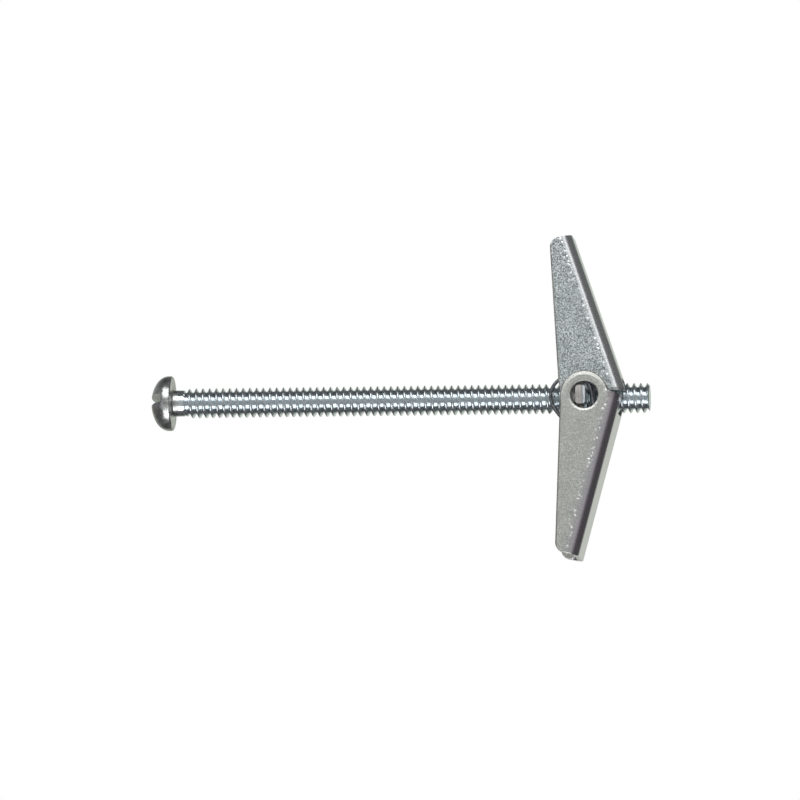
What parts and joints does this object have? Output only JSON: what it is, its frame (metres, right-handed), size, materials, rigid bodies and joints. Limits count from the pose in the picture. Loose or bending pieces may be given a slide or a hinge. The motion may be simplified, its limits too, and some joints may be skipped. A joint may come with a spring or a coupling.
{
  "type": "toggle bolt",
  "caption": "Slotted round-head machine screw with a trunnion nut and two spring-opened folding sheet-steel wings that bear behind a hollow wall.",
  "frame": {"origin": "centre of the head's flat bearing face, on the screw's axis", "axes": "+X along the screw's axis from the head to the tip, +Y along the wings' hinge axis, +Z the way the inner wing stands open"},
  "size_m": [0.0783, 0.0112, 0.0504],
  "materials": {
    "zinc_screw": "bright zinc plate on rolled steel",
    "zinc_nut": "bright zinc plate on stamped steel strip",
    "spring_wire": "drawn spring steel wire",
    "zinc_wing": "zinc plate on pressed sheet steel, finely mottled"
  },
  "bodies": {
    "screw": {"machine_screw": "zinc_screw"},
    "nut": {"trunnion_nut": "zinc_nut", "torsion_spring": "spring_wire"},
    "outer_wing": {"wing_outer": "zinc_wing"},
    "inner_wing": {"wing_inner": "zinc_wing"}
  },
  "joints": [
    {"name": "nut_travel", "type": "slide", "parent": "screw", "child": "nut", "axis": [1, 0, 0], "range_m": [-0.038, 0.0085]},
    {"name": "outer_wing_fold", "type": "hinge", "parent": "nut", "child": "outer_wing", "pos_m": [0.0651, 0, 0], "axis": [0, 1, 0], "range_deg": [0, 79], "stiffness_Nm_per_rad": 0.02, "springref_deg": -28.65, "deforming": ["torsion_spring"]},
    {"name": "inner_wing_fold", "type": "hinge", "parent": "nut", "child": "inner_wing", "pos_m": [0.0651, 0, 0], "axis": [0, -1, 0], "range_deg": [0, 77], "stiffness_Nm_per_rad": 0.02, "springref_deg": -28.65, "deforming": ["torsion_spring"]}
  ]
}
